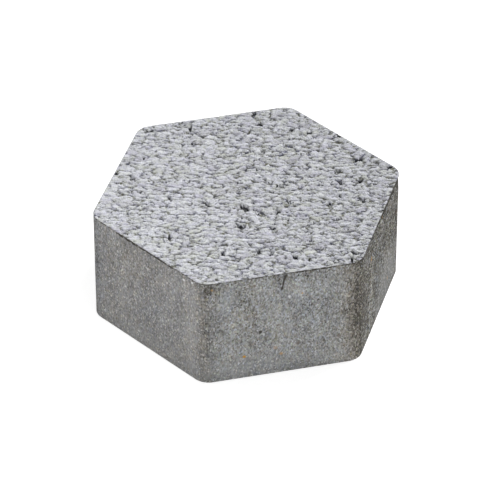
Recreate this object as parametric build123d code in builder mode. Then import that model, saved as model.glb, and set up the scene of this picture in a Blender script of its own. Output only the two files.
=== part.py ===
"""Hexagonal concrete paving stone, cast as one piece in a straight-walled steel mould.

The bed face lies on Z = 0 with the origin at its centre, and the wearing face is up.
Two opposite upright corners lie on the X axis, and two opposite flat sides face along Y.
"""

import os

from build123d import *

# The stone as a whole, in millimetres
across_flats = 180.0  # between two opposite flat sides, which is the laying size less the joint
thickness = 80.0  # from the bed face to the wearing face
corner_radius = 12.0  # the six upright corners, as rounded by the mould

# The arrises, in millimetres
wearing_arris = 1.0  # eased edge round the wearing face, left by the washing of that face
bed_arris = 0.6  # eased edge round the bed face, where the stone left the pallet

# The plan is a regular hexagon, so that the stones tile without cutting
side_count = 6

with BuildPart() as paving_stone:
    # The plan: a hexagon with its upright corners rounded, and a corner pointing along +X
    with BuildSketch(Plane.XY) as plan:
        RegularPolygon(radius=across_flats / 2, side_count=side_count, major_radius=False)
        fillet(plan.vertices(), radius=corner_radius)
    # The walls rise straight, because the mould is drawn off upwards
    extrude(amount=thickness)
    # The arrises follow the whole rim of each face
    bed_face = paving_stone.faces().sort_by(Axis.Z)[0]
    wearing_face = paving_stone.faces().sort_by(Axis.Z)[-1]
    fillet(wearing_face.edges(), radius=wearing_arris)
    chamfer(bed_face.edges(), length=bed_arris)

paving_stone.part.label = "paving_stone"

os.makedirs("parts", exist_ok=True)
export_step(paving_stone.part, "parts/paving_stone.step")
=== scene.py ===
"""Hexagonal concrete paving stone: a washed wearing face of small chips, and sides as the mould left them.

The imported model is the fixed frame. Lengths are in metres, and the wearing face is up.
"""

import math

import bpy
import numpy as np
from bpy.props import FloatProperty, FloatVectorProperty, IntProperty, PointerProperty
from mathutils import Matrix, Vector, noise


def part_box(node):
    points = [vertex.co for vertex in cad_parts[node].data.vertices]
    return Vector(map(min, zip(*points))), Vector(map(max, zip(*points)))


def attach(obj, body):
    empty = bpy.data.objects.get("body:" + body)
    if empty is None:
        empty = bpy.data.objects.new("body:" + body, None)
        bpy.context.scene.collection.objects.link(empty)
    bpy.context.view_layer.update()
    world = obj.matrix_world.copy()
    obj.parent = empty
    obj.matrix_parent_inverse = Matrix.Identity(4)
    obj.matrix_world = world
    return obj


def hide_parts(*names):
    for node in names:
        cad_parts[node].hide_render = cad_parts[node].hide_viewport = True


bl_info = {
    "name": "Paving stone",
    "version": (1, 0, 0),
    "blender": (4, 5, 0),
    "location": "3D View > Sidebar > Paving stone",
    "description": "Builds a hexagonal concrete paving stone with a washed wearing face",
    "category": "Object",
}

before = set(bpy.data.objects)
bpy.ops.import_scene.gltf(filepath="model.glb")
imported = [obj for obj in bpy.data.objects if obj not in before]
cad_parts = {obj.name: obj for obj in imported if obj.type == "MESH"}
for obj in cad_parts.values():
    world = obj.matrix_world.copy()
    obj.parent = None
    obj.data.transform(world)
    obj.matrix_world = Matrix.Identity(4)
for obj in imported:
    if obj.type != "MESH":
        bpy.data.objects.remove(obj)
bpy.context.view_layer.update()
NODE = "paving_stone"
BODY = "root"
LOW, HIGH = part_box(NODE)
MM = 0.001

# The chips lie a little longer one way
LAY_TURN = math.radians(-14)
LAY_STRETCH = (0.52, 1.08, 0.0)

# Tints that multiply a colour, and white
BROWN_TINT = (1.05, 0.955, 0.82, 1.0)
BLUE_TINT = (0.93, 0.99, 1.10, 1.0)
GREEN_TINT = (0.96, 1.05, 0.88, 1.0)
OLIVE_TINT = (1.0, 1.015, 0.95, 1.0)
VIOLET_TINT = (0.985, 0.98, 1.05, 1.0)
ROSY_TINT = (1.008, 0.986, 1.006, 1.0)
WHITE = (1.0, 1.0, 1.0, 1.0)

# Noise: where most values lie, what brings its colour's middle to zero, and kinds by detail and roughness
NOISE_RANGE = (0.3, 0.7)
NOISE_TO_ZERO = (-0.5, -0.5, -0.5)
FINE_NOISE = (2.0, 0.6)
PIT_NOISE = (3.0, 0.6)
LUMPY_NOISE = (3.0, 0.65)

# The plan is a regular hexagon with a corner along +X
SIDES = 6
HALF_CORNER = math.pi / SIDES

# The three finishes, in the order of their numbers on the mesh
FINISHES = ("Washed Finish", "Formed Finish", "Bed Finish")
WASHED, FORMED, BED = range(len(FINISHES))

# Open holes of the washed face: across, along, length and width in millimetres, and turn in degrees
OPEN_HOLES = (
    (-6.0, -15.5, 7.0, 3.4, -70), (27.0, 74.5, 4.6, 3.4, 0), (3.0, 68.5, 3.4, 2.4, -20),
    (17.0, 65.5, 3.2, 2.0, 70), (21.5, 43.0, 3.4, 2.2, -60), (54.5, 45.0, 3.6, 2.4, 0),
    (57.0, 57.5, 3.4, 2.4, 30), (75.5, 48.0, 3.4, 2.4, -60), (81.0, 19.0, 5.6, 2.8, 0),
    (74.5, -4.0, 4.0, 2.6, -30), (62.0, -3.5, 4.4, 1.8, -60), (22.5, 2.0, 4.6, 2.2, -20),
    (-28.0, -7.0, 5.0, 2.6, -70), (-24.0, 1.0, 4.4, 1.8, 10), (-12.5, -35.0, 4.4, 3.8, 0),
    (-4.0, -40.5, 3.4, 2.4, -20), (-42.0, -39.0, 4.4, 1.8, 10), (-60.0, -35.0, 4.4, 2.0, 80),
    (15.0, -25.0, 3.0, 2.6, -60), (16.5, -34.0, 4.6, 2.2, -30), (7.0, -46.0, 3.0, 2.2, 0),
    (9.5, -53.0, 2.6, 2.0, 60), (-8.0, -62.5, 3.2, 1.8, 70), (-2.0, -68.0, 2.8, 2.0, 60),
    (28.5, -69.0, 4.6, 2.0, 0), (12.5, -74.5, 5.6, 2.4, -60), (-21.0, -68.5, 4.0, 1.6, 30),
    (-31.0, -61.0, 3.4, 1.6, 80), (33.0, -43.0, 4.2, 2.4, 0), (48.5, -24.0, 3.2, 2.0, 40),
    (57.5, -18.0, 5.4, 2.0, -80), (36.5, -17.0, 3.4, 1.8, -50), (71.0, -26.0, 3.6, 1.8, 80),
    (-68.0, 18.0, 3.0, 1.8, -60), (-48.0, 25.0, 3.2, 1.8, 20), (4.5, 24.5, 3.6, 2.0, -60),
    (13.0, 24.0, 3.0, 2.2, 20), (-78.0, 41.5, 3.0, 2.0, 60), (-57.0, 54.0, 3.0, 1.8, 80),
    (-47.0, 53.0, 3.8, 1.6, -70), (-50.5, 5.0, 3.8, 1.8, -70), (98.0, 6.0, 3.0, 2.2, 0),
    (-19.0, 81.0, 5.6, 1.8, 75), (-46.0, 84.0, 5.0, 2.4, -20), (26.0, 87.0, 3.6, 2.0, 0),
    (-23.0, 63.5, 4.4, 1.8, 10), (46.0, 63.0, 3.6, 2.4, 20), (58.0, 34.0, 3.4, 2.0, 20),
    (50.0, -79.5, 5.0, 3.2, -70), (47.0, -86.0, 5.6, 1.4, 75),
)

# Each flat side's tone, roughness, warmth and rosiness as a whole, by its outward turn in degrees. The
# tones at 210, 270 and 330 are partly painted light and shade, set against the lamps; the dark tone at 330
# is partly painted shade where the key lamp lights that side
SIDE_FACES = {
    30: (-0.08, 0.60, 0.3, 0.2), 90: (0.0, 0.50, 0.0, 0.4), 150: (-0.04, 0.60, 0.2, 0.3),
    210: (-0.04, 0.40, -0.08, 0.45), 270: (0.14, 0.74, -0.28, 0.0), 330: (-0.22, 1.7, 0.95, 0.0),
}

# Patches on the sides: outward turn in degrees; along from the left end, height above the bed, half width
# and half height in millimetres; and the tone, roughness and warmth that they add. Some are painted light
# and shade: the left side is lighter near the bed, against the floor's shadow, and darker at its left end,
# and the right side darker at its right end, where the corner bends catch the lamps
SIDE_PATCHES = (
    (210, 0, 40, 9, 60, -0.26, 0.0, -0.8), (210, 52, 0, 70, 24, 0.17, 0.0, 0.0),
    (210, 38, 58, 22, 16, 0.02, 0.1, 0.4), (210, 60, 32, 16, 14, -0.03, 0.0, -0.5),
    (210, 94, 40, 8, 60, 0.20, 0.0, 0.1), (210, 104, 40, 4, 60, -0.08, 0.1, 0.2),
    (270, 2, 40, 6, 60, -0.33, -0.2, 0.5), (270, 52, 81, 60, 7, -0.27, 0.2, 0.2),
    (270, 52, 2, 70, 16, -0.02, -0.1, 0.0), (270, 7, 73, 6, 7, -0.10, 0.3, 0.7),
    (270, 16, 65, 5, 9, 0.05, -0.4, -0.8), (270, 32, 7, 34, 9, -0.02, -0.35, -0.4),
    (270, 54, 58, 34, 15, 0.06, 0.0, -0.2), (270, 30, 52, 9, 16, -0.03, 0.2, 0.5),
    (270, 75, 45, 16, 26, 0.02, 0.1, -0.3), (270, 96, 50, 5, 60, -0.06, 0.2, 0.5),
    (270, 103, 40, 6, 60, -0.36, 0.0, 0.9),
    (330, 3, 40, 16, 60, -0.24, -0.4, 0.9), (330, 104, 40, 7, 60, -0.34, 0.0, 0.2),
    (330, 28, 28, 5, 34, 0.44, 0.3, 0.0), (330, 47, 40, 9, 15, 0.04, -0.2, -0.8),
    (330, 74, 14, 34, 22, -0.10, -1.6, -1.2), (330, 84, 52, 22, 14, -0.10, 0.3, 0.7),
    (30, 20, 40, 12, 50, 0.06, -0.3, -0.4), (30, 72, 40, 10, 60, -0.14, 0.3, 0.6),
    (90, 30, 52, 14, 24, 0.06, -0.2, -0.4), (90, 78, 24, 18, 18, -0.05, 0.2, 0.5),
    (150, 52, 36, 16, 40, -0.08, 0.2, 0.4), (150, 100, 40, 6, 60, -0.14, 0.2, 0.3),
)

# The line under the washed edge, a shallow groove painted dark as painted shade: outward turn; from and to
# along the side, its height at both ends in millimetres, and its strength
RIM_SHADE_LINES = (
    (210, 0, 104, 0.5, 0.5, 0.45), (210, 22, 78, 1.1, 0.9, 0.9), (210, 28, 46, 1.5, 1.3, 1.0),
    (210, 95, 98.5, 1.7, 1.7, 1.0), (270, 0, 104, 0.5, 0.7, 0.55), (270, 60, 84, 0.9, 0.9, 0.8),
    (330, 0, 30, 0.5, 0.9, 0.5), (330, 24, 104, 1.1, 5.0, 1.5),
    (30, 0, 60, 2.6, 0.8, 0.8), (90, 18, 70, 0.9, 1.4, 0.7), (150, 36, 104, 0.8, 1.6, 0.75),
)

# Rusty, brown and pale grains, and pits drawn only as painted shade, on the sides: outward turn; along,
# height above the bed and radius in millimetres; and strength
RUST_GRAINS = (
    (270, 27.5, 17.5, 1.4, 1.0), (270, 52.0, 15.5, 1.5, 0.55), (270, 48.0, 21.0, 1.9, 0.28),
    (270, 6.5, 74.5, 1.1, 0.45), (270, 65.5, 61.5, 0.9, 0.6),
    (330, 28.0, 61.5, 2.4, 0.75), (330, 55.0, 76.0, 1.7, 0.35), (330, 74.0, 13.0, 1.6, 0.3),
    (30, 41.0, 33.0, 1.5, 0.7),
    (150, 62.0, 58.0, 1.4, 0.6),
    (90, 24.0, 18.0, 1.4, 0.5),
)
BROWN_GRAINS = (
    (270, 63.0, 22.0, 1.7, 0.6), (270, 90.0, 23.0, 1.9, 0.6), (270, 34.0, 73.0, 1.5, 0.5),
    (270, 73.0, 52.0, 1.4, 0.4),
    (330, 10.0, 30.0, 2.2, 0.5), (330, 62.0, 44.0, 2.2, 0.5), (330, 95.0, 52.0, 3.0, 0.6),
    (210, 22.0, 8.0, 1.3, 0.5),
    (30, 66.0, 48.0, 2.0, 0.6),
    (90, 52.0, 64.0, 1.6, 0.5),
    (150, 30.0, 26.0, 1.8, 0.5),
)
PALE_GRAINS = (
    (210, 87.5, 75.0, 1.3, 0.8), (210, 95.0, 77.0, 1.1, 0.8),
    # Painted highlight: two pale grains just below the front pinhole at 38 mm along stand for its lit lower
    # wall
    (270, 57.0, 60.5, 1.2, 0.8), (270, 36.5, 32.5, 1.6, 0.28), (270, 40.0, 33.5, 1.2, 0.3),
    (270, 52.0, 26.0, 1.8, 0.2),
    (330, 90.0, 51.0, 1.6, 0.3),
    (90, 70.0, 22.0, 1.3, 0.4),
    (30, 28.0, 62.0, 1.4, 0.35),
    (150, 80.0, 40.0, 1.2, 0.35),
)
PINHOLE_SHADES = (
    (270, 38.0, 35.5, 1.7, 1.0), (270, 69.0, 74.5, 1.3, 0.9), (270, 35.0, 37.0, 1.2, 0.4),
    (270, 25.0, 43.0, 2.2, 0.35),
    (30, 20.0, 51.0, 1.2, 0.8),
    (90, 84.0, 57.0, 1.4, 0.7),
    (150, 16.0, 63.0, 1.3, 0.8),
)

# The front side's drag mark, painted shade with no groove in the mesh, from its upper end: along, height
# above the bed, half width, in millimetres
DRAG_SIDE = 270
DRAG_MARK = ((54.7, 77.6, 0.9), (53.5, 74.5, 0.75), (52.6, 69.5, 0.55), (52.2, 67.4, 0.95))


class StoneSizes(bpy.types.PropertyGroup):
    """The stone's own sizes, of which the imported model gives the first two."""

    across_flats: FloatProperty(
        name="Across flats", description="Between two opposite flat sides",
        default=HIGH.y - LOW.y, unit="LENGTH",
    )
    thickness: FloatProperty(
        name="Thickness", description="From the bed face to the wearing face",
        default=HIGH.z - LOW.z, unit="LENGTH",
    )
    corner_radius: FloatProperty(
        name="Corner radius", description="Of the six upright corners", default=12 * MM, unit="LENGTH",
    )
    wearing_arris: FloatProperty(
        name="Wearing arris", description="Radius of the edge round the wearing face",
        default=1 * MM, unit="LENGTH",
    )
    bed_arris: FloatProperty(
        name="Bed arris", description="Bevel of the edge round the bed face",
        default=0.6 * MM, unit="LENGTH",
    )
    lattice_steps: IntProperty(
        name="Lattice steps", description="Mesh steps along one side of the wearing face",
        default=160, min=12,
    )


class WashedFace(bpy.types.PropertyGroup):
    """The wearing face, where washing has laid the chips bare."""

    chip_size: FloatProperty(
        name="Chip size", description="Spacing of the larger chips", default=4.0 * MM, unit="LENGTH",
    )
    small_chip_size: FloatProperty(
        name="Small chip size", description="Spacing of the smaller chips", default=2.0 * MM, unit="LENGTH",
    )
    relief_depth: FloatProperty(
        name="Relief depth", description="From the highest chips down to the gaps",
        default=1.8 * MM, unit="LENGTH",
    )
    hole_depth: FloatProperty(
        name="Hole depth", description="Of the holes where a chip has come away",
        default=3.2 * MM, unit="LENGTH",
    )
    seed: IntProperty(name="Seed", description="Moves the chips and the holes' outlines", default=7, min=1)
    pale: FloatVectorProperty(
        name="Pale chips", description="Colour of the palest chips",
        subtype="COLOR", default=(0.660, 0.667, 0.700),
    )
    grey: FloatVectorProperty(
        name="Grey chips", description="Colour of the darker chips",
        subtype="COLOR", default=(0.540, 0.545, 0.574),
    )
    olive: FloatVectorProperty(
        name="Olive chips", description="Colour of the yellowish chips",
        subtype="COLOR", default=(0.515, 0.525, 0.470),
    )
    lilac: FloatVectorProperty(
        name="Lilac chips", description="Colour of the bluish chips",
        subtype="COLOR", default=(0.495, 0.486, 0.548),
    )
    # The gaps' colours: partly the darker matrix, partly painted shade in the low places and cracks
    olive_gap_and_shade: FloatVectorProperty(
        name="Olive gaps", description="Yellowish colour between the chips",
        subtype="COLOR", default=(0.165, 0.163, 0.098),
    )
    violet_gap_and_shade: FloatVectorProperty(
        name="Violet gaps", description="Bluish colour between the chips",
        subtype="COLOR", default=(0.118, 0.126, 0.188),
    )
    hole_floor: FloatVectorProperty(
        name="Hole floors", description="Colour of the sand in the holes",
        subtype="COLOR", default=(0.16, 0.16, 0.16),
    )
    # Near black: painted shade on the holes' walls, on top of their real depth
    hole: FloatVectorProperty(
        name="Holes", description="Colour of the holes' walls",
        subtype="COLOR", default=(0.024, 0.025, 0.029),
    )


class FormedSide(bpy.types.PropertyGroup):
    """The sides, which keep the drag of the mould."""

    drag_depth: FloatProperty(
        name="Drag depth", description="Depth of the upright drag lines", default=0.25 * MM, unit="LENGTH",
    )
    lip_depth: FloatProperty(
        name="Lip depth", description="Depth of the line under the wearing face",
        default=0.35 * MM, unit="LENGTH",
    )
    grain_size: FloatProperty(
        name="Grain size", description="Spacing of the sand grains", default=0.76 * MM, unit="LENGTH",
    )
    torn_grain_size: FloatProperty(
        name="Torn grain size", description="Spacing of the grains where the skin is torn",
        default=2.4 * MM, unit="LENGTH",
    )
    cement: FloatVectorProperty(
        name="Cement", description="Colour of the cement skin",
        subtype="COLOR", default=(0.322, 0.319, 0.317),
    )
    # Painted shade: the colour of the pits and of the line under the edge
    dark: FloatVectorProperty(
        name="Dark pits", description="Colour in pits and under the edge",
        subtype="COLOR", default=(0.060, 0.055, 0.045),
    )
    brown: FloatVectorProperty(
        name="Brown grains", description="Colour of the brown grains",
        subtype="COLOR", default=(0.145, 0.105, 0.075),
    )
    pale: FloatVectorProperty(
        name="Pale grains", description="Colour of the pale grains",
        subtype="COLOR", default=(0.86, 0.87, 0.88),
    )
    rust: FloatVectorProperty(
        name="Rust grain", description="Colour of the rusty grains",
        subtype="COLOR", default=(0.62, 0.33, 0.06),
    )


class StudioStage(bpy.types.PropertyGroup):
    """The floor, the lamps and the camera."""

    azimuth: FloatProperty(
        name="Azimuth", description="Camera's turn round the stone",
        default=math.radians(-14.0), subtype="ANGLE",
    )
    elevation: FloatProperty(
        name="Elevation", description="Camera's height over the horizon",
        default=math.radians(36.6), subtype="ANGLE",
    )
    distance: FloatProperty(
        name="Distance", description="From the camera to the stone", default=2.234, unit="LENGTH",
    )
    aim_left: FloatProperty(
        name="Aim left", description="How far left of the stone's centre the camera aims",
        default=1.5 * MM, unit="LENGTH",
    )
    aim_down: FloatProperty(
        name="Aim down", description="How far below the stone's centre the camera aims",
        default=2.3 * MM, unit="LENGTH",
    )
    lens: FloatProperty(
        name="Lens", description="Focal length in millimetres",
        default=249.8, unit="CAMERA",
    )
    key_turn: FloatProperty(
        name="Key turn", description="Direction that the key lamp stands in",
        default=math.radians(30), subtype="ANGLE",
    )
    key_height: FloatProperty(
        name="Key height", description="Height of the key lamp", default=math.radians(52), subtype="ANGLE",
    )
    key_spread: FloatProperty(
        name="Key spread", description="Angle that the key lamp fills",
        default=math.radians(16), subtype="ANGLE",
    )
    key_strength: FloatProperty(name="Key strength", description="Strength of the key lamp", default=2.44)
    near_turn: FloatProperty(
        name="Near turn", description="Direction that the near lamp stands in",
        default=math.radians(216), subtype="ANGLE",
    )
    near_height: FloatProperty(
        name="Near height", description="Height of the near lamp",
        default=math.radians(58), subtype="ANGLE",
    )
    near_distance: FloatProperty(
        name="Near distance", description="From the near lamp to the stone", default=0.33, unit="LENGTH",
    )
    near_size: FloatProperty(
        name="Near size", description="Diameter of the near lamp",
        default=0.3, unit="LENGTH",
    )
    near_power: FloatProperty(
        name="Near power", description="Power of the near lamp in watts",
        default=0.39, unit="POWER",
    )
    fill_turn: FloatProperty(
        name="Fill turn", description="Direction that the fill lamp stands in",
        default=math.radians(262), subtype="ANGLE",
    )
    fill_height: FloatProperty(
        name="Fill height", description="Height of the fill lamp",
        default=math.radians(16), subtype="ANGLE",
    )
    fill_spread: FloatProperty(
        name="Fill spread", description="Angle that the fill lamp fills",
        default=math.radians(60), subtype="ANGLE",
    )
    fill_strength: FloatProperty(
        name="Fill strength", description="Strength of the fill lamp",
        default=0.42,
    )
    sky_strength: FloatProperty(name="Sky strength", description="Strength of the even light", default=0.38)
    floor_size: FloatProperty(
        name="Floor size", description="Side of the floor",
        default=60.0, unit="LENGTH",
    )


class PavingStoneSettings(bpy.types.PropertyGroup):
    """Everything that a user would change."""

    sizes: PointerProperty(type=StoneSizes)
    washed: PointerProperty(type=WashedFace)
    formed: PointerProperty(type=FormedSide)
    stage: PointerProperty(type=StudioStage)


class NodeFormula:
    """Writes formulas into a node tree, in shaders and in Geometry Nodes alike."""

    def __init__(self, tree):
        self.tree = tree

    def put(self, socket, value):
        """Links a socket, or sets a plain value."""
        if isinstance(value, bpy.types.NodeSocket):
            self.tree.links.new(value, socket)
        else:
            socket.default_value = value

    def add(self, kind, sockets=None, **settings):
        """Adds a node with its settings, and fills the sockets that are named or numbered."""
        node = self.tree.nodes.new(kind)
        for name, value in settings.items():
            setattr(node, name, value)
        for key, value in (sockets or {}).items():
            self.put(node.inputs[key], value)
        return node

    def math(self, operation, *values):
        """One step of arithmetic."""
        return self.add("ShaderNodeMath", dict(enumerate(values)), operation=operation).outputs[0]

    def times(self, first, second):
        """The product of two numbers."""
        return self.math("MULTIPLY", first, second)

    def vector(self, operation, *values):
        """One step of vector arithmetic."""
        return self.add("ShaderNodeVectorMath", dict(enumerate(values)), operation=operation)

    def stretch(self, place, factors):
        """The place, with each direction multiplied."""
        return self.vector("MULTIPLY", place, factors).outputs[0]

    def upright(self, place, share):
        """The place with its height multiplied: a pattern stands upright under 1 and lies flat over 1."""
        return self.stretch(place, (1.0, 1.0, share))

    def shift(self, place, offset):
        """The place, moved by the offset."""
        return self.vector("ADD", place, offset).outputs[0]

    def ease(self, value, start, end, low=0.0, high=1.0):
        """Goes smoothly from low to high as the value goes from start to end."""
        sockets = dict(enumerate((value, start, end, low, high)))
        return self.add("ShaderNodeMapRange", sockets, interpolation_type="SMOOTHSTEP").outputs[0]

    def scale(self, value, start, end, low, high):
        """Goes straight from low to high as the value goes from start to end."""
        return self.add("ShaderNodeMapRange", dict(enumerate((value, start, end, low, high)))).outputs[0]

    def spread(self, value, low=-1.0, high=1.0):
        """Goes straight from low to high as the value goes from 0 to 1."""
        return self.scale(value, 0.0, 1.0, low, high)

    def swing(self, value, low=-1.0, high=1.0):
        """Goes straight from low to high over the range that most noise lies in."""
        return self.scale(value, *NOISE_RANGE, low, high)

    def blend(self, share, first, second):
        """Mixes two numbers."""
        return self.add("ShaderNodeMix", {0: share, 2: first, 3: second}).outputs[0]

    def tint(self, share, first, second, how="MIX"):
        """Mixes two colours."""
        settings = {"data_type": "RGBA", "blend_type": how}
        return self.add("ShaderNodeMix", {0: share, 6: first, 7: second}, **settings).outputs[2]

    def cloud(self, place, size, detail=2.0, roughness=0.5):
        """Noise with features of about that size: the node, whose outputs are a number and a colour."""
        often = self.math("DIVIDE", 1.0, size)
        sockets = {"Vector": place, "Scale": often, "Detail": detail, "Roughness": roughness}
        return self.add("ShaderNodeTexNoise", sockets)

    def cells(self, place, size, feature="F1", flat=True):
        """Cells of about that size."""
        sockets = {"Vector": place, "Scale": self.math("DIVIDE", 1.0, size)}
        return self.add(
            "ShaderNodeTexVoronoi", sockets, feature=feature, voronoi_dimensions="2D" if flat else "3D"
        )

    def total(self, *values):
        """The sum of several numbers."""
        result = values[0]
        for value in values[1:]:
            result = self.math("ADD", result, value)
        return result

    def parts(self, value):
        """The three numbers of a vector or a colour."""
        return self.add("ShaderNodeSeparateXYZ", {0: value}).outputs

    def join(self, x, y, z):
        """A vector of three numbers."""
        return self.add("ShaderNodeCombineXYZ", {0: x, 1: y, 2: z}).outputs[0]


def rgba(colour):
    """A colour with full cover."""
    return (*colour, 1.0)


# The washed face's pattern, which the relief and the colour share
# Pairs are the start and end of an easing, and fours add its low and high
SEED_STEP = (0.137, 0.059, 0.0)
WANDER_SIZE = 2.4 * MM
WANDER_REACH = (2.6 * MM, 2.6 * MM, 0.0)
LARGE_CHIPS = {"step": 0.18, "lean": 0.52}
SMALL_CHIPS = {"step": 0.11, "lean": 0.34}
SMALL_CHIP_SHIFT = (0.031, 0.017, 0.0)
CHIP_LEVEL = 0.88  # before chips rise or lean and gaps go down
CHIP_TOP_BLEND = 0.12
GAP_EDGE = 0.16  # in chip sizes, as are the edges of the cracks
GAP_PATCH_SIZE = 5.0 * MM
GAP_PATCHES = (0.35, 0.65, 0.10, 0.60)
SMALL_GAP_DEPTH = 0.20
STROKE_SIZE = 3.0 * MM
STROKE_SHIFT = (0.05, 0.02, 0.0)
CRACK_EDGE = (0.17, 0.05)
CRACK_STROKES = (0.43, 0.62)
SMALL_CRACK_EDGE = (0.18, 0.05)
SMALL_CRACK_STROKES = (0.48, 0.70, 0.0, 0.8)
GRIT_SIZE = 1.1 * MM
GRIT_HEIGHTS = (-0.06, 0.08)
BITTEN_REACH = 90 * MM
BITTEN_SHARE = 0.045
PIT_SIZE = 2.6 * MM
PIT_SHIFT = (0.02, 0.07, 0.0)
PITS = (0.50, 0.66, 0.0, 0.48)
LOST_CHIP_SPACING = 6.0 * MM
LOST_CHIP_REACH = (0.08, 0.25)
LOST_CHIP_EDGE = (1.2, 0.5)
LOST_CHIP_CHANCE = 0.45
SMALL_HOLE_DEPTH = 0.8
HOLE_CHIPS_KEPT = (0.45, 1.0, 0.0, 0.55)
HOLE_EDGE = (0.05, 0.5)


def chip_layer(formula, place, size, step, lean):
    """One grading of chips: (height by level and lean, distance to the edge in chip sizes, colour)."""
    cell = formula.cells(place, size)
    edge = formula.cells(place, size, "DISTANCE_TO_EDGE").outputs["Distance"]
    level, lean_x, lean_y = formula.parts(cell.outputs["Color"])
    away = formula.vector("SUBTRACT", place, cell.outputs["Position"]).outputs[0]
    steepest = formula.math("DIVIDE", lean, size)
    slope = formula.join(formula.spread(lean_x), formula.spread(lean_y), 0.0)
    tilt = formula.times(formula.vector("DOT_PRODUCT", away, slope).outputs["Value"], steepest)
    return formula.total(formula.spread(level, -step, step), tilt), edge, cell.outputs["Color"]


def washed_pattern(formula, place, chip_size, small_chip_size, seed):
    """The chips at a place: (height up to 1, large and small chips' colours, cracks partly of painted
    shade, small holes).
    """
    start = formula.vector("SCALE", SEED_STEP)
    formula.put(start.inputs["Scale"], seed)
    turn = {"Vector": place, "Angle": -LAY_TURN}
    turned = formula.add("ShaderNodeVectorRotate", turn, rotation_type="Z_AXIS").outputs[0]
    flat = formula.shift(formula.stretch(turned, LAY_STRETCH), start.outputs[0])
    wander = formula.cloud(flat, WANDER_SIZE, *FINE_NOISE).outputs["Color"]
    pull = formula.stretch(formula.shift(wander, NOISE_TO_ZERO), WANDER_REACH)
    warped = formula.shift(flat, pull)
    large, large_edge, large_colour = chip_layer(formula, warped, chip_size, **LARGE_CHIPS)
    beside = formula.shift(warped, SMALL_CHIP_SHIFT)
    small, small_edge, small_colour = chip_layer(formula, beside, small_chip_size, **SMALL_CHIPS)
    # The gaps are deep in some places and closed in others
    openness = formula.cloud(flat, GAP_PATCH_SIZE).outputs["Fac"]
    gap = formula.times(formula.ease(large_edge, GAP_EDGE, 0.0), formula.ease(openness, *GAP_PATCHES))
    small_gap = formula.ease(small_edge, GAP_EDGE, 0.0, 0.0, SMALL_GAP_DEPTH)
    # The cracks come in strokes, painted dark, partly as the joints and partly as painted shade
    strokes = formula.cloud(formula.shift(flat, STROKE_SHIFT), STROKE_SIZE, *FINE_NOISE).outputs["Fac"]
    crack_and_shade = formula.times(formula.ease(large_edge, *CRACK_EDGE), formula.ease(strokes, *CRACK_STROKES))
    small_crack_and_shade = formula.times(
        formula.ease(small_edge, *SMALL_CRACK_EDGE), formula.ease(strokes, *SMALL_CRACK_STROKES)
    )
    crack_and_shade = formula.math("MAXIMUM", crack_and_shade, small_crack_and_shade)
    grit = formula.cloud(flat, GRIT_SIZE, *FINE_NOISE).outputs["Fac"]
    # Washing has bitten deeper towards one end
    along = formula.parts(turned)[0]
    bitten = formula.scale(along, -BITTEN_REACH, BITTEN_REACH, -BITTEN_SHARE, BITTEN_SHARE)
    pits = formula.cloud(formula.shift(flat, PIT_SHIFT), PIT_SIZE, *PIT_NOISE).outputs["Fac"]
    pit = formula.ease(formula.total(pits, bitten), *PITS)
    sunk = formula.times(formula.total(gap, small_gap, pit), -1.0)
    height = formula.total(CHIP_LEVEL, large, small, formula.swing(grit, *GRIT_HEIGHTS), sunk)
    height = formula.math("SMOOTH_MIN", height, 1.0, CHIP_TOP_BLEND)
    # Where a small chip has come away
    lost = formula.cells(warped, LOST_CHIP_SPACING)
    chance, reach, _ = formula.parts(lost.outputs["Color"])
    ratio = formula.math("DIVIDE", lost.outputs["Distance"], formula.spread(reach, *LOST_CHIP_REACH))
    gone = formula.math("LESS_THAN", chance, LOST_CHIP_CHANCE)
    small_hole = formula.times(formula.ease(ratio, *LOST_CHIP_EDGE), gone)
    return height, large_colour, small_colour, crack_and_shade, small_hole


def ragged_hole(formula, open_hole, small_hole, height):
    """How deep a place lies in a hole, from 0 to 1, with the chips at its edge left standing."""
    hole = formula.math("MAXIMUM", open_hole, formula.times(small_hole, SMALL_HOLE_DEPTH))
    kept = formula.scale(height, *HOLE_CHIPS_KEPT)
    return formula.ease(formula.math("SUBTRACT", hole, kept), *HOLE_EDGE)


# The plain shape, ready for its relief
RIM_WASHED = 0.45  # share of the relief that is left at the rim
RIM_BAND = 2.2 * MM  # over which the relief fades to the rim
ARRIS_QUARTERS = (0.34, 0.67, 1.0)  # rows round the wearing arris, as shares of its bend
WASHED_ROWS = 2  # of these, the ones with the washed finish
LIP_DROPS = (0.4, 0.8, 1.3, 1.9, 2.7)  # rows under the arris, in millimetres
LIP_BAND = 5 * MM
WALL_ROWS = 12
HOLE_BAND = 2 * MM  # below the wearing face, within which a point can lie in a hole
HOLE_RAGGED_PER_METRE = 420.0
HOLE_RAGGED_REACH = 0.75 * MM
HOLE_END = 1.65  # in half sizes of the hole
HOLE_FADE = 0.6
SIDE_REACH = 3 * MM  # from a flat side's plane, within which a point belongs to it
LEAST_WEIGHT = 1e-9
RIM_LINE_END = 1.5  # in heights of the line
RIM_LINE_FADE = 0.9
RIM_LINE_TAPER = 3  # at its two ends, in millimetres


def outline_radius(turn, sizes, inset):
    """From the axis to the rounded hexagon at each turn, with the outline moved in by the inset."""
    flat_reach = sizes.across_flats / 2
    from_corner = np.abs((turn + HALF_CORNER) % (2 * HALF_CORNER) - HALF_CORNER)
    bend_centre = (flat_reach - sizes.corner_radius) / math.cos(HALF_CORNER)
    bend = sizes.corner_radius - inset
    bend_end = math.atan2(bend * math.sin(HALF_CORNER), bend_centre + bend * math.cos(HALF_CORNER))
    on_flat = (flat_reach - inset) / np.cos(HALF_CORNER - from_corner)
    reach = np.maximum(bend**2 - (bend_centre * np.sin(from_corner)) ** 2, 0.0)
    on_bend = bend_centre * np.cos(from_corner) + np.sqrt(reach)
    return np.where(from_corner < bend_end, on_bend, on_flat)


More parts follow.
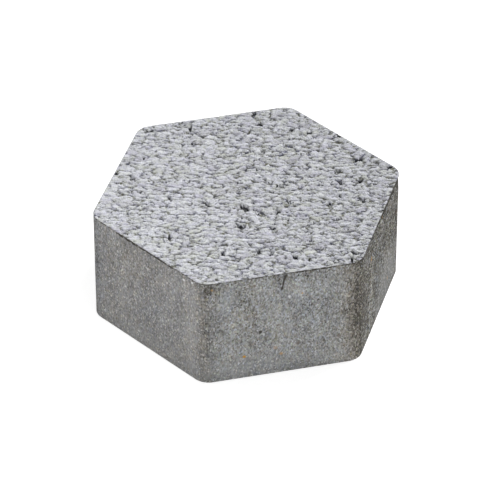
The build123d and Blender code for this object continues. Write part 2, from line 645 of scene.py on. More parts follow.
def hexagon_rings(steps):
    """A unit hexagon as rings of points: (points, triangles, first point of the outer ring)."""
    corners = np.array([
        (math.cos(2 * HALF_CORNER * k), math.sin(2 * HALF_CORNER * k)) for k in range(SIDES + 1)
    ])
    points = [np.zeros((1, 2))]
    triangles = []
    inner_start = 0
    for ring in range(1, steps + 1):
        count = SIDES * ring
        start = 1 + SIDES // 2 * ring * (ring - 1)
        step = np.arange(count)
        side, along = step // ring, step % ring
        share = (along / ring)[:, None]
        points.append((corners[side] * (1 - share) + corners[side + 1] * share) * ring / steps)
        inner_count = max(SIDES * (ring - 1), 1)
        inner = inner_start + (side * (ring - 1) + along) % inner_count
        following = start + (step + 1) % count
        triangles.append(np.stack([start + step, following, inner], 1))
        between = along < ring - 1
        inner_next = inner_start + (side * (ring - 1) + along + 1) % inner_count
        triangles.append(np.stack([inner, following, inner_next], 1)[between])
        inner_start = start
    return np.concatenate(points), np.concatenate(triangles), inner_start


def wall_profile(sizes):
    """Rows of inset, height and share of the washing, from just under the washed face to the bed."""
    rows = []
    for quarter in ARRIS_QUARTERS:
        bend = quarter * math.pi / 2
        inset = sizes.wearing_arris * (1 - math.sin(bend))
        height = sizes.thickness - sizes.wearing_arris * (1 - math.cos(bend))
        rows.append((inset, height, RIM_WASHED * (1 - quarter)))
    top = sizes.thickness - sizes.wearing_arris
    for drop in LIP_DROPS:
        rows.append((0.0, top - drop * MM, 0.0))
    for height in np.linspace(top - LIP_BAND, sizes.bed_arris, WALL_ROWS):
        rows.append((0.0, float(height), 0.0))
    rows.append((sizes.bed_arris, 0.0, 0.0))
    return rows


def face_frame(outward_degrees, sizes):
    """A flat side's left end and its direction, seen from outside with the wearing face up."""
    turn = math.radians(outward_degrees)
    normal = Vector((math.cos(turn), math.sin(turn), 0.0))
    along = Vector((-math.sin(turn), math.cos(turn), 0.0))
    half = sizes.across_flats / 2 * math.tan(HALF_CORNER)
    return normal * sizes.across_flats / 2 - along * half, along, normal


def wall_place(outward_degrees, along_mm, height_mm, sizes):
    """The point on a flat side at that distance from its left end and that height over the bed."""
    start, along, _ = face_frame(outward_degrees, sizes)
    return start + along * along_mm * MM + Vector((0.0, 0.0, height_mm * MM))


def smooth_step(value):
    """Eases from 0 to 1."""
    share = np.clip(value, 0.0, 1.0)
    return share * share * (3 - 2 * share)


def open_holes(xy, seed):
    """How deep each point lies in one of the open holes, from 0 to 1."""
    noise.seed_set(seed)
    ragged = np.array([noise.noise_vector(Vector((x, y, 0.0)) * HOLE_RAGGED_PER_METRE)[:2] for x, y in xy])
    place = xy + ragged * HOLE_RAGGED_REACH
    depth = np.zeros(len(xy))
    for across, along, length, width, turn_degrees in OPEN_HOLES:
        turn = math.radians(turn_degrees)
        away = place - np.array((across, along)) * MM
        down_length = (away[:, 0] * math.cos(turn) + away[:, 1] * math.sin(turn)) / (length / 2 * MM)
        down_width = (away[:, 1] * math.cos(turn) - away[:, 0] * math.sin(turn)) / (width / 2 * MM)
        inside = (HOLE_END - np.hypot(down_length, down_width)) / HOLE_FADE
        depth = np.maximum(depth, smooth_step(inside))
    return depth


def side_looks(points, sizes):
    """(tone, roughness, warmth, rosiness) at each point, from the flat sides and their patches."""
    looks = np.zeros((len(points), 4))
    weight = np.zeros(len(points))
    for outward_degrees, whole in SIDE_FACES.items():
        normal = np.array(face_frame(outward_degrees, sizes)[2])
        close = np.exp(-(((sizes.across_flats / 2 - points @ normal) / SIDE_REACH) ** 2))
        looks += close[:, None] * np.array(whole)
        weight += close
    looks /= np.maximum(weight, LEAST_WEIGHT)[:, None]
    for outward_degrees, along_mm, height_mm, half_width, half_height, *added in SIDE_PATCHES:
        away = points - np.array(wall_place(outward_degrees, along_mm, height_mm, sizes))
        across = np.linalg.norm(away[:, :2], axis=1) / (half_width * MM)
        up = away[:, 2] / (half_height * MM)
        looks += np.exp(-(across**2) - up**2)[:, None] * np.array((*added, 0.0))
    return looks.T


def rim_shade_lines(points, sizes):
    """How strong the line under the washed edge, painted shade over a shallow groove, is at each point."""
    strength = np.zeros(len(points))
    below = (sizes.thickness - sizes.wearing_arris - points[:, 2]) / MM
    for outward_degrees, first, last, first_height, last_height, most in RIM_SHADE_LINES:
        start, along, normal = face_frame(outward_degrees, sizes)
        run = (points - np.array(start)) @ np.array(along) / MM
        facing = points @ np.array(normal) > sizes.across_flats / 2 - SIDE_REACH
        share = np.clip((run - first) / (last - first), 0.0, 1.0)
        height = first_height + (last_height - first_height) * share
        begun = smooth_step((run - first) / RIM_LINE_TAPER + 0.5)
        left = smooth_step((last - run) / RIM_LINE_TAPER + 0.5)
        line = smooth_step((RIM_LINE_END - below / height) / RIM_LINE_FADE)
        strength = np.maximum(strength, most * (begun * left) * facing * line)
    return strength


def plain_stone(settings):
    """The stone with no relief: a fine lattice on top, rows down the sides, and what the looks read."""
    sizes = settings.sizes
    unit, triangles, rim_start = hexagon_rings(sizes.lattice_steps)
    turn = np.arctan2(unit[:, 1], unit[:, 0])
    from_corner = np.abs((turn + HALF_CORNER) % (2 * HALF_CORNER) - HALF_CORNER)
    unit_reach = math.cos(HALF_CORNER) / np.cos(HALF_CORNER - from_corner)
    top_reach = outline_radius(turn, sizes, sizes.wearing_arris)
    xy = unit * (top_reach / unit_reach)[:, None]
    rim_gap = top_reach - np.linalg.norm(xy, axis=1)
    points = [np.column_stack([xy, np.full(len(xy), sizes.thickness)])]
    washed = [RIM_WASHED + (1 - RIM_WASHED) * smooth_step(rim_gap / RIM_BAND)]
    formed = [np.zeros(len(xy))]

    rim_turn = turn[rim_start:]
    columns = len(rim_turn)
    quads = []
    upper = rim_start + np.arange(columns)
    first = len(xy)
    profile = wall_profile(sizes)
    for inset, height, washed_share in profile:
        reach = outline_radius(rim_turn, sizes, inset)
        level = np.full(columns, height)
        points.append(np.column_stack([reach * np.cos(rim_turn), reach * np.sin(rim_turn), level]))
        washed.append(np.full(columns, washed_share))
        on_wall = inset == 0.0 and sizes.bed_arris < height < sizes.thickness - sizes.wearing_arris
        formed.append(np.full(columns, float(on_wall)))
        lower = first + np.arange(columns)
        quads.append(np.stack([upper, lower, np.roll(lower, -1), np.roll(upper, -1)], 1))
        upper = lower
        first += columns
    points = np.concatenate(points)
    tone, rough, warm, rosy = side_looks(points, sizes)
    near_top = points[:, 2] > sizes.thickness - HOLE_BAND

    faces = [*triangles.tolist(), *np.concatenate(quads).tolist(), upper[::-1].tolist()]
    zones = np.full(len(faces), FORMED)
    zones[: len(triangles) + WASHED_ROWS * columns] = WASHED
    zones[-1] = BED
    mesh = bpy.data.meshes.new(NODE + "_plain")
    mesh.from_pydata(points.tolist(), [], faces)
    for name, values in (
        ("washed", np.concatenate(washed)), ("formed", np.concatenate(formed)),
        ("open_hole", open_holes(points[:, :2], settings.washed.seed) * near_top),
        ("tone", tone), ("rough", rough), ("warm", warm), ("rosy", rosy),
        ("rim_groove_and_shade", rim_shade_lines(points, sizes)),
    ):
        mesh.attributes.new(name, "FLOAT", "POINT").data.foreach_set("value", values.astype(np.float32))
    mesh.attributes.new("zone", "INT", "FACE").data.foreach_set("value", zones.astype(np.int32))
    mesh.update()
    return mesh


# The relief
DRAG_STRETCH = 0.05
DRAG_LINE_SIZE = 1.6 * MM
DRAG_LINES = (0.42, 0.72)


def attribute(formula, name, kind="FLOAT"):
    """A named attribute in Geometry Nodes."""
    node = formula.add("GeometryNodeInputNamedAttribute", {"Name": name}, data_type=kind)
    return node.outputs["Attribute"]


def relief_tree():
    """Geometry Nodes that sink the gaps, holes and drag lines, and set the three finishes."""
    tree = bpy.data.node_groups.new("Stone relief", "GeometryNodeTree")
    sockets = tree.interface
    sockets.new_socket("Geometry", in_out="INPUT", socket_type="NodeSocketGeometry")
    lengths = ("Chip Size", "Small Chip Size", "Relief Depth", "Hole Depth", "Drag Depth", "Lip Depth")
    for name in lengths:
        sockets.new_socket(name, in_out="INPUT", socket_type="NodeSocketFloat").subtype = "DISTANCE"
    sockets.new_socket("Seed", in_out="INPUT", socket_type="NodeSocketInt")
    for name in FINISHES:
        sockets.new_socket(name, in_out="INPUT", socket_type="NodeSocketMaterial")
    sockets.new_socket("Geometry", in_out="OUTPUT", socket_type="NodeSocketGeometry")
    formula = NodeFormula(tree)
    given = formula.add("NodeGroupInput").outputs
    place = formula.add("GeometryNodeInputPosition").outputs[0]

    # The washed face goes down between the chips and into the holes
    chips = washed_pattern(formula, place, given["Chip Size"], given["Small Chip Size"], given["Seed"])
    height, small_hole = chips[0], chips[-1]
    low = formula.math("SUBTRACT", 1.0, formula.math("MINIMUM", height, 1.0))
    hole = ragged_hole(formula, attribute(formula, "open_hole"), small_hole, height)
    drop = formula.total(
        formula.times(low, given["Relief Depth"]), formula.times(hole, given["Hole Depth"])
    )
    drop = formula.times(drop, attribute(formula, "washed"))
    down = formula.join(0.0, 0.0, formula.times(drop, -1.0))

    # The sides go in along the drag lines and under the lip
    drag_place = formula.upright(place, DRAG_STRETCH)
    lines = formula.cloud(drag_place, DRAG_LINE_SIZE, *FINE_NOISE).outputs["Fac"]
    lines_in = formula.times(formula.ease(lines, *DRAG_LINES), attribute(formula, "rough"))
    lip_in = formula.times(attribute(formula, "rim_groove_and_shade"), given["Lip Depth"])
    inward = formula.total(formula.times(lines_in, given["Drag Depth"]), lip_in)
    inward = formula.times(inward, attribute(formula, "formed"))
    normal = formula.upright(formula.add("GeometryNodeInputNormal").outputs[0], 0.0)
    back = formula.vector("SCALE", normal)
    formula.put(back.inputs["Scale"], formula.times(inward, -1.0))

    moved = formula.add("GeometryNodeSetPosition", {"Geometry": given["Geometry"]})
    formula.put(moved.inputs["Offset"], formula.shift(down, back.outputs[0]))
    smooth = formula.add("GeometryNodeSetShadeSmooth", {"Geometry": moved.outputs[0], "Shade Smooth": True})
    shape = formula.add("GeometryNodeRealizeInstances", {"Geometry": smooth.outputs[0]}).outputs[0]
    zone = attribute(formula, "zone", "INT")
    for number, name in enumerate(FINISHES):
        chosen = formula.add(
            "FunctionNodeCompare", {2: zone, 3: number}, data_type="INT", operation="EQUAL"
        ).outputs[0]
        choice = {"Geometry": shape, "Selection": chosen, "Material": given[name]}
        shape = formula.add("GeometryNodeSetMaterial", choice).outputs[0]
    formula.put(formula.add("NodeGroupOutput").inputs["Geometry"], shape)
    return tree


def set_inputs(modifier, values):
    """Sets a modifier's inputs by the identifiers of the named sockets."""
    for item in modifier.node_group.interface.items_tree:
        if item.in_out == "INPUT" and item.name in values:
            modifier[item.identifier] = values[item.name]


# The finishes: names with BY_ROUGH give two roughnesses of a side and how strong a thing is at each
CHIP_ROUGHNESS = 0.82
SKIN_ROUGHNESS = 0.86
BED_ROUGHNESS = 0.9
DRY_SPECULAR = 0.3
OLIVE_CHIPS = (0.75, 0.95, 0.0, 0.5)
LILAC_CHIPS = (0.70, 0.95, 0.0, 0.6)
CHIP_GRAIN_SIZE = 0.7 * MM
CHIP_GRAIN_TONES = (0.80, 1.20)
CHIP_GRAIN_HEIGHTS = (0.0, 0.30)
CHIP_BUMP_SHARE = 0.52  # of the relief's depth
HUE_PATCH_SIZE = 2.6 * MM
HUE_SHIFT = (0.3, 0.1, 0.0)
GAP_AND_SHADE_HEIGHTS = (0.62, 0.12)
CRACK_AND_SHADE_COVER = 0.62
HOLE_FLOOR_SHARES = (0.9, 1.2)  # of a hole's depth, where its sandy floor begins and where it is whole
HOLE_FLOOR_SLOPES = (0.4, 0.75)  # upward part of the normal, likewise
HOLE_SAND_TONES = (0.55, 1.45)
MARK_CORE = 0.5  # of a mark's radius
DRAG_MARK_EDGE = (1.25, 0.6)  # in half widths of the mark
LEAST_ROUGH = 0.12
RAGGED_SIZE = 1.2 * MM
RAGGED_REACH = 1.4 * MM
SAND_STRETCH = 0.62
TORN_STRETCH = 2.2
TORN_TONE = 0.9
TORN_PITS = (0.72, 0.95, 0.0, 1.8)
LUMP_STRETCH = 1.3
LUMP_SIZE = 2.6 * MM
STREAK_STRETCH = 0.14
STREAK_SIZE = 2.0 * MM
PALE_CHANCE = (0.86, 1.0)
DARK_CHANCE = (0.80, 1.0)
SAND_BY_ROUGH = (0.8, 1.7, 0.47, 0.42)
PALE_BY_ROUGH = (0.2, 0.7, 1.10, 0.30)
DARK_BY_ROUGH = (0.2, 1.2, -0.05, -0.52)
TORN_BY_ROUGH = (0.8, 1.7, 0.0, 0.31)
LUMPS_BY_ROUGH = (0.7, 1.7, 0.04, 0.27)
STREAKS_BY_ROUGH = (0.2, 0.7, 0.05, 0.14)
CONTRAST_BY_ROUGH = (0.1, 1.5, 0.53, 1.68)
CLOUD_STRETCH = 0.6
CLOUD_SIZE = 14 * MM
CLOUD_DETAIL = 1.0
CLOUDS_BY_ROUGH = (0.2, 0.8, 0.06, 0.17)
LEAST_TONE = 0.22
STAIN_STRETCH = 0.5
STAIN_SIZE = 3.2 * MM
STAIN_REACH = 1.4
STAIN_COVER = 0.70
STAINS_BY_ROUGH = (0.7, 1.7, 0.7, 1.3)
BROWNER_BY_ROUGH = (0.4, 1.25, 0.3, -2.2)
GRAIN_COVER = 0.7
BROWN_CHANCE = (0.66, 0.96)
BLUE_CHANCE = (0.66, 0.96)
GREEN_CHANCE = (0.34, 0.04)
LINE_BREAK_SIZE = 2.6 * MM
LINE_BREAKS = (0.36, 0.64, 0.10, 1.55)
LINE_EDGE = (0.22, 0.62)
MOST_DARK = 0.95
GRAIN_BUMP = 0.08  # in millimetres, as are the strengths of the next
LUMP_BUMP_BY_ROUGH = (0.5, 1.7, 0.02, 0.9)
BED_SPECK_SIZE = 1.4 * MM
BED_SPECK_TONES = (0.7, 1.3)
BED_CLOUD_SIZE = 18 * MM
BED_CLOUD_TONES = (0.9, 1.1)
BED_BUMP = 0.4 * MM
BED_BUMP_STRENGTH = 0.6


def new_finish(name, roughness):
    """A matt material with no colour yet: (material, formula, object coordinates, shader)."""
    material = bpy.data.materials.new(name)
    material.use_nodes = True
    material.node_tree.nodes.clear()
    formula = NodeFormula(material.node_tree)
    gloss = {"Roughness": roughness, "Specular IOR Level": DRY_SPECULAR}
    shader = formula.add("ShaderNodeBsdfPrincipled", gloss)
    output = formula.add("ShaderNodeOutputMaterial")
    formula.put(output.inputs["Surface"], shader.outputs[0])
    place = formula.add("ShaderNodeTexCoord").outputs["Object"]
    return material, formula, place, shader


def surface_value(formula, name):
    """A number that the mesh carries."""
    return formula.add("ShaderNodeAttribute", attribute_name=name).outputs["Fac"]


def bumped(formula, height, depth, strength):
    """A normal with a fine height added."""
    sockets = {"Height": height, "Distance": depth, "Strength": strength}
    return formula.add("ShaderNodeBump", sockets).outputs[0]


def washed_finish(washed, sizes):
    """Pale rounded chips, a few olive or lilac; gaps and holes' walls darker, partly as painted shade;
    sandy hole floors.
    """
    material, formula, place, shader = new_finish("washed_chips", CHIP_ROUGHNESS)
    pattern = washed_pattern(formula, place, washed.chip_size, washed.small_chip_size, washed.seed)
    height, chip, small_chip, crack_and_shade, small_hole = pattern
    _, hue, other = formula.parts(chip)
    shade = formula.parts(small_chip)[0]
    colour = formula.tint(shade, rgba(washed.grey), rgba(washed.pale))
    colour = formula.tint(formula.ease(hue, *OLIVE_CHIPS), colour, rgba(washed.olive))
    colour = formula.tint(formula.ease(other, *LILAC_CHIPS), colour, rgba(washed.lilac))
    grain = formula.cloud(place, CHIP_GRAIN_SIZE, *FINE_NOISE).outputs["Fac"]
    colour = formula.tint(1.0, colour, formula.swing(grain, *CHIP_GRAIN_TONES), "MULTIPLY")
    # The hue wanders a little between olive and violet, more so in the gaps
    wander = formula.cloud(formula.shift(place, HUE_SHIFT), HUE_PATCH_SIZE, *FINE_NOISE).outputs["Fac"]
    violet_share = formula.swing(wander, 0.0, 1.0)
    colour = formula.tint(1.0, colour, formula.tint(violet_share, OLIVE_TINT, VIOLET_TINT), "MULTIPLY")
    # Low places and cracks take the gaps' colour: partly the matrix, partly painted shade
    gap = formula.tint(violet_share, rgba(washed.olive_gap_and_shade), rgba(washed.violet_gap_and_shade))
    colour = formula.tint(formula.ease(height, *GAP_AND_SHADE_HEIGHTS), colour, gap)
    colour = formula.tint(formula.times(crack_and_shade, CRACK_AND_SHADE_COVER), colour, gap)
    hole = ragged_hole(formula, surface_value(formula, "open_hole"), small_hole, height)
    # In a hole, the faces that turn up show paler sand, and the walls are painted near black as painted
    # shade
    floor_top, floor_level = (sizes.thickness - share * washed.hole_depth for share in HOLE_FLOOR_SHARES)
    upward = formula.parts(formula.add("ShaderNodeNewGeometry").outputs["True Normal"])[2]
    deep = formula.ease(formula.parts(place)[2], floor_top, floor_level)
    floor = formula.times(deep, formula.ease(upward, *HOLE_FLOOR_SLOPES))
    sand = formula.tint(1.0, rgba(washed.hole_floor), formula.swing(grain, *HOLE_SAND_TONES), "MULTIPLY")
    colour = formula.tint(hole, colour, formula.tint(floor, rgba(washed.hole), sand))
    formula.put(shader.inputs["Base Color"], colour)
    fine = formula.total(height, formula.swing(grain, *CHIP_GRAIN_HEIGHTS))
    formula.put(shader.inputs["Normal"], bumped(formula, fine, washed.relief_depth * CHIP_BUMP_SHARE, 1.0))
    return material


def near(formula, place, centre, radius):
    """1 close to a point, fading to 0 at the radius."""
    away = formula.vector("DISTANCE", place, tuple(centre)).outputs["Value"]
    return formula.ease(away, radius, radius * MARK_CORE)


def marks(formula, place, listed, sizes):
    """How strongly any of the listed marks of the sides covers a place."""
    cover = 0.0
    for outward_degrees, along_mm, height_mm, radius_mm, strength in listed:
        centre = wall_place(outward_degrees, along_mm, height_mm, sizes)
        mark = formula.times(near(formula, place, centre, radius_mm * MM), strength)
        cover = formula.math("MAXIMUM", cover, mark)
    return cover


def drag_mark(formula, place, sizes):
    """1 on the drag mark of the front side, which is painted shade with no groove in the mesh."""
    cover = 0.0
    for first, second in zip(DRAG_MARK, DRAG_MARK[1:]):
        upper = wall_place(DRAG_SIDE, first[0], first[1], sizes)
        lower = wall_place(DRAG_SIDE, second[0], second[1], sizes)
        run = lower - upper
        from_upper = formula.shift(place, tuple(-upper))
        down = formula.vector("DOT_PRODUCT", from_upper, tuple(run / run.length_squared))
        share = formula.spread(down.outputs["Value"], 0.0, 1.0)
        step = formula.vector("SCALE", tuple(run))
        formula.put(step.inputs["Scale"], share)
        nearest = formula.shift(step.outputs[0], tuple(upper))
        away = formula.vector("DISTANCE", place, nearest).outputs["Value"]
        half_width = formula.spread(share, first[2] * MM, second[2] * MM)
        ratio = formula.math("DIVIDE", away, half_width)
        cover = formula.math("MAXIMUM", cover, formula.ease(ratio, *DRAG_MARK_EDGE))
    return cover


def side_grains(formula, place, ragged_place, rough, formed):
    """A side's grains: (their tone, the sand's three random shares, lumps where the skin is torn)."""
    sand = formula.cells(formula.upright(place, SAND_STRETCH), formed.grain_size, flat=False)
    shade, warm_grain, cool_grain = formula.parts(sand.outputs["Color"])
    torn_place = formula.upright(ragged_place, TORN_STRETCH)
    torn_cells = formula.cells(torn_place, formed.torn_grain_size, flat=False)
    torn = formula.parts(torn_cells.outputs["Color"])
    torn_shade = formula.math(
        "SUBTRACT", formula.spread(torn[0], -TORN_TONE, TORN_TONE), formula.ease(torn[1], *TORN_PITS)
    )
    lump_place = formula.upright(ragged_place, LUMP_STRETCH)
    lumps = formula.swing(formula.cloud(lump_place, LUMP_SIZE, *LUMPY_NOISE).outputs["Fac"])
    streak_place = formula.upright(place, STREAK_STRETCH)
    streaks = formula.swing(formula.cloud(streak_place, STREAK_SIZE, *FINE_NOISE).outputs["Fac"])
    layers = (
        (formula.spread(shade), SAND_BY_ROUGH),
        (formula.ease(shade, *PALE_CHANCE), PALE_BY_ROUGH),
        (formula.ease(warm_grain, *DARK_CHANCE), DARK_BY_ROUGH),
        (torn_shade, TORN_BY_ROUGH),
        (lumps, LUMPS_BY_ROUGH),
        (streaks, STREAKS_BY_ROUGH),
    )
    shown = [formula.times(layer, formula.scale(rough, *by_rough)) for layer, by_rough in layers]
    return formula.total(*shown), (shade, warm_grain, cool_grain), lumps


def formed_finish(formed, sizes):
    """Grey cement skin with sand specks, drag streaks, stained patches, and painted shade in pits and under
    the edge.
    """
    material, formula, place, shader = new_finish("formed_concrete", SKIN_ROUGHNESS)
    rough = formula.math("MAXIMUM", surface_value(formula, "rough"), LEAST_ROUGH)
    ragged = formula.stretch(formula.cloud(place, RAGGED_SIZE).outputs["Color"], (RAGGED_REACH,) * 3)
    ragged_place = formula.shift(formula.shift(place, ragged), (-RAGGED_REACH / 2,) * 3)
    specks, sand, lumps = side_grains(formula, place, ragged_place, rough, formed)
    shade, warm_grain, cool_grain = sand
    contrast = formula.scale(rough, *CONTRAST_BY_ROUGH)
    clouds = formula.cloud(formula.upright(place, CLOUD_STRETCH), CLOUD_SIZE, CLOUD_DETAIL).outputs["Fac"]
    # The sides' tone carries some painted light and shade from their faces and patches
    tone = formula.total(
        1.0, formula.times(specks, contrast),
        formula.times(formula.swing(clouds), formula.scale(rough, *CLOUDS_BY_ROUGH)),
        surface_value(formula, "tone"),
    )
    tone = formula.math("MAXIMUM", tone, LEAST_TONE)
    colour = formula.tint(1.0, rgba(formed.cement), tone, "MULTIPLY")
    # Brown and bluish stains and grains, with dark specks browner than pale ones
    stains = formula.cloud(formula.upright(place, STAIN_STRETCH), STAIN_SIZE, *FINE_NOISE).outputs["Fac"]
    browner = formula.times(specks, formula.scale(rough, *BROWNER_BY_ROUGH))
    stained = formula.times(formula.swing(stains), formula.scale(rough, *STAINS_BY_ROUGH))
    warm = formula.total(surface_value(formula, "warm"), stained, browner)
    grains = formula.times(contrast, GRAIN_COVER)
    for cover, hue in (
        (formula.scale(warm, 0.0, STAIN_REACH, 0.0, STAIN_COVER), BROWN_TINT),
        (formula.scale(warm, 0.0, -STAIN_REACH, 0.0, STAIN_COVER), BLUE_TINT),
        (surface_value(formula, "rosy"), ROSY_TINT),
        (formula.times(formula.ease(warm_grain, *BROWN_CHANCE), grains), BROWN_TINT),
        (formula.times(formula.ease(cool_grain, *BLUE_CHANCE), grains), BLUE_TINT),
        (formula.times(formula.ease(cool_grain, *GREEN_CHANCE), grains), GREEN_TINT),
    ):
        colour = formula.tint(cover, colour, hue, "MULTIPLY")
    # Marks that stand alone, a little ragged
    for listed, mark_colour in (
        (BROWN_GRAINS, formed.brown), (PALE_GRAINS, formed.pale), (RUST_GRAINS, formed.rust),
    ):
        colour = formula.tint(marks(formula, ragged_place, listed, sizes), colour, rgba(mark_colour))
    # Pinholes and the drag mark have no hollow in the mesh: their dark colour is painted shade
    pinhole_shade = marks(formula, ragged_place, PINHOLE_SHADES, sizes)
    pits = formula.math("MAXIMUM", pinhole_shade, drag_mark(formula, place, sizes))
    # The line under the washed edge: painted shade, broken here and there, over its shallow groove
    broken = formula.scale(formula.cloud(place, LINE_BREAK_SIZE).outputs["Fac"], *LINE_BREAKS)
    line = formula.ease(formula.times(surface_value(formula, "rim_groove_and_shade"), broken), *LINE_EDGE)
    dark = formula.math("MINIMUM", formula.math("MAXIMUM", pits, line), MOST_DARK)
    colour = formula.tint(dark, colour, rgba(formed.dark))
    formula.put(shader.inputs["Base Color"], colour)
    # Torn places stand out in lumps
    relief = formula.total(
        formula.times(shade, GRAIN_BUMP), formula.times(lumps, formula.scale(rough, *LUMP_BUMP_BY_ROUGH))
    )
    formula.put(shader.inputs["Normal"], bumped(formula, relief, MM, 1.0))
    return material


def bed_finish(formed):
    """Rough grey concrete, as the pallet left it."""
    material, formula, place, shader = new_finish("bed_concrete", BED_ROUGHNESS)
    specks = formula.cloud(place, BED_SPECK_SIZE, *LUMPY_NOISE).outputs["Fac"]
    clouds = formula.cloud(place, BED_CLOUD_SIZE).outputs["Fac"]
    tone = formula.times(formula.swing(specks, *BED_SPECK_TONES), formula.swing(clouds, *BED_CLOUD_TONES))
    formula.put(shader.inputs["Base Color"], formula.tint(1.0, rgba(formed.cement), tone, "MULTIPLY"))
    formula.put(shader.inputs["Normal"], bumped(formula, specks, BED_BUMP, BED_BUMP_STRENGTH))
    return material


class PAVING_OT_make_stone(bpy.types.Operator):
    """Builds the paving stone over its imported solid."""

    bl_idname = "paving.make_stone"
    bl_label = "Make the stone"

    def execute(self, context):
        settings = context.scene.paving_stone
        stone = bpy.data.objects.new("paving_stone_dressed", plain_stone(settings))
        context.scene.collection.objects.link(stone)
        modifier = stone.modifiers.new("Stone relief", "NODES")
        modifier.node_group = relief_tree()
        set_inputs(modifier, {
            "Chip Size": settings.washed.chip_size,
            "Small Chip Size": settings.washed.small_chip_size,
            "Seed": settings.washed.seed,
            "Relief Depth": settings.washed.relief_depth,
            "Hole Depth": settings.washed.hole_depth,
            "Drag Depth": settings.formed.drag_depth,
            "Lip Depth": settings.formed.lip_depth,
            "Washed Finish": washed_finish(settings.washed, settings.sizes),
            "Formed Finish": formed_finish(settings.formed, settings.sizes),
            "Bed Finish": bed_finish(settings.formed),
        })
        depsgraph = context.evaluated_depsgraph_get()
        finished = bpy.data.meshes.new_from_object(
            stone.evaluated_get(depsgraph), preserve_all_data_layers=True, depsgraph=depsgraph
        )
        stone.modifiers.remove(modifier)
        stone.data = finished
        if not finished.polygons or len(finished.materials) < len(FINISHES):
            raise RuntimeError("the stone came out without faces or finishes")
        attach(stone, BODY)
        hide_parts(NODE)
        return {"FINISHED"}


# The stage
FLOOR_SEEN = (0.45, 0.45, 0.45, 1.0)
FLOOR_GLOW = 0.76
FLOOR_BOUNCE = (0.72, 0.72, 0.72, 1.0)
VIEW_REACH = 200.0


def floor_material():
    """White to the camera, with the stone's shadow, and plain pale to the light that it sends back."""
    material = bpy.data.materials.new("studio_floor")
    material.use_nodes = True
    material.node_tree.nodes.clear()
    formula = NodeFormula(material.node_tree)
    shaded = formula.add("ShaderNodeBsdfDiffuse", {"Color": FLOOR_SEEN}).outputs[0]
    white = formula.add("ShaderNodeEmission", {"Color": WHITE, "Strength": FLOOR_GLOW}).outputs[0]
    seen = formula.add("ShaderNodeAddShader", {0: shaded, 1: white}).outputs[0]
    bounced = formula.add("ShaderNodeBsdfDiffuse", {"Color": FLOOR_BOUNCE}).outputs[0]
    mixed = formula.add("ShaderNodeMixShader", {0: seen_rays(formula), 1: bounced, 2: seen}).outputs[0]
    formula.put(formula.add("ShaderNodeOutputMaterial").inputs["Surface"], mixed)
    return material


def seen_rays(formula):
    """1 for what the camera sees, straight or in a reflection."""
    path = formula.add("ShaderNodeLightPath").outputs
    glossy = formula.math("MAXIMUM", path["Is Glossy Ray"], path["Is Transmission Ray"])
    return formula.math("MAXIMUM", path["Is Camera Ray"], glossy)


def make_floor(stage):
    """A wide level floor under the stone."""
    half = stage.floor_size / 2
    mesh = bpy.data.meshes.new("studio_floor")
    corners = [(-half, -half, 0), (half, -half, 0), (half, half, 0), (-half, half, 0)]
    mesh.from_pydata(corners, [], [(0, 1, 2, 3)])
    mesh.materials.append(floor_material())
    floor = bpy.data.objects.new("studio_floor", mesh)
    bpy.context.scene.collection.objects.link(floor)


def place_lamp(light, turn, height, distance):
    """Stands a lamp in that direction, facing the stone."""
    lamp = bpy.data.objects.new(light.name, light)
    level = math.cos(height)
    towards = Vector((level * math.cos(turn), level * math.sin(turn), math.sin(height)))
    lamp.rotation_mode = "QUATERNION"
    lamp.rotation_quaternion = towards.to_track_quat("Z", "Y")
    lamp.location = towards * distance + Vector((0.0, 0.0, HIGH.z))
    bpy.context.scene.collection.objects.link(lamp)


def make_lights(stage):
    """A key lamp at the back right, a near lamp at the front left, a low fill in front, and the sky."""
    key = bpy.data.lights.new("key_lamp", "SUN")
    key.angle = stage.key_spread
    key.energy = stage.key_strength
    place_lamp(key, stage.key_turn, stage.key_height, stage.near_distance)
    near_lamp = bpy.data.lights.new("near_lamp", "AREA")
    near_lamp.shape = "DISK"
    near_lamp.size = stage.near_size
    near_lamp.energy = stage.near_power
    place_lamp(near_lamp, stage.near_turn, stage.near_height, stage.near_distance)
    fill = bpy.data.lights.new("fill_lamp", "SUN")
    fill.angle = stage.fill_spread
    fill.energy = stage.fill_strength
    place_lamp(fill, stage.fill_turn, stage.fill_height, stage.near_distance)
    world = bpy.data.worlds.new("studio_sky")
    world.use_nodes = True
    world.node_tree.nodes.clear()
    formula = NodeFormula(world.node_tree)
    strength = formula.blend(seen_rays(formula), stage.sky_strength, 1.0)
    sky = formula.add("ShaderNodeBackground", {"Color": WHITE, "Strength": strength})
    formula.put(formula.add("ShaderNodeOutputWorld").inputs["Surface"], sky.outputs[0])
    bpy.context.scene.world = world


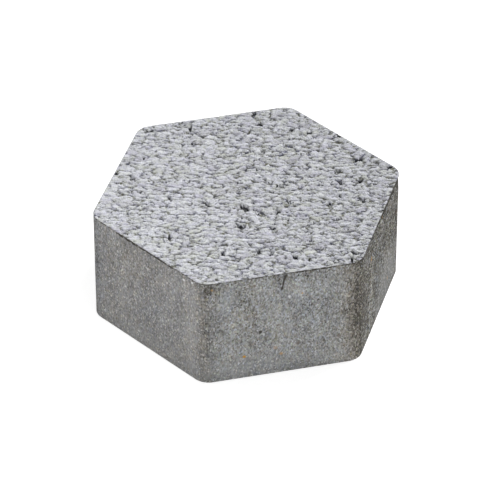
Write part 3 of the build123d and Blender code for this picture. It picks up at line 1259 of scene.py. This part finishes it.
def make_camera(stage):
    """A long lens at the photograph's angle."""
    turn, rise = stage.azimuth, stage.elevation
    back = Vector((math.sin(turn) * math.cos(rise), -math.cos(turn) * math.cos(rise), math.sin(rise)))
    right = Vector((math.cos(turn), math.sin(turn), 0.0))
    up = back.cross(right)
    aim = (LOW + HIGH) / 2 - right * stage.aim_left - up * stage.aim_down
    lens = bpy.data.cameras.new("camera")
    lens.lens = stage.lens
    lens.clip_end = VIEW_REACH
    camera = bpy.data.objects.new("camera", lens)
    camera.location = aim + back * stage.distance
    camera.rotation_mode = "QUATERNION"
    camera.rotation_quaternion = back.to_track_quat("Z", "Y")
    bpy.context.scene.collection.objects.link(camera)
    bpy.context.scene.camera = camera


class PAVING_OT_set_stage(bpy.types.Operator):
    """Sets the floor, the lamps and the camera."""

    bl_idname = "paving.set_stage"
    bl_label = "Set the stage"

    def execute(self, context):
        stage = context.scene.paving_stone.stage
        context.scene.view_settings.view_transform = "Standard"
        make_floor(stage)
        make_lights(stage)
        make_camera(stage)
        return {"FINISHED"}


class PAVING_PT_panel(bpy.types.Panel):
    """Lists the stone's steps and sizes."""

    bl_idname = "PAVING_PT_panel"
    bl_label = "Paving stone"
    bl_space_type = "VIEW_3D"
    bl_region_type = "UI"
    bl_category = "Paving stone"

    def draw(self, context):
        settings = context.scene.paving_stone
        for group in (settings.sizes, settings.washed, settings.formed, settings.stage):
            box = self.layout.box()
            for name in group.bl_rna.properties.keys():
                if name not in ("rna_type", "name"):
                    box.prop(group, name)
        self.layout.operator(PAVING_OT_make_stone.bl_idname)
        self.layout.operator(PAVING_OT_set_stage.bl_idname)


CLASSES = (
    StoneSizes, WashedFace, FormedSide, StudioStage, PavingStoneSettings,
    PAVING_OT_make_stone, PAVING_OT_set_stage, PAVING_PT_panel,
)


def register():
    """Registers the classes and the settings."""
    for item in CLASSES:
        bpy.utils.register_class(item)
    bpy.types.Scene.paving_stone = PointerProperty(type=PavingStoneSettings)


def unregister():
    """Takes the settings and the classes away again."""
    del bpy.types.Scene.paving_stone
    for item in reversed(CLASSES):
        bpy.utils.unregister_class(item)


def main():
    """Builds the stone and its stage."""
    register()
    bpy.ops.paving.make_stone()
    bpy.ops.paving.set_stage()


if __name__ == "__main__":
    main()
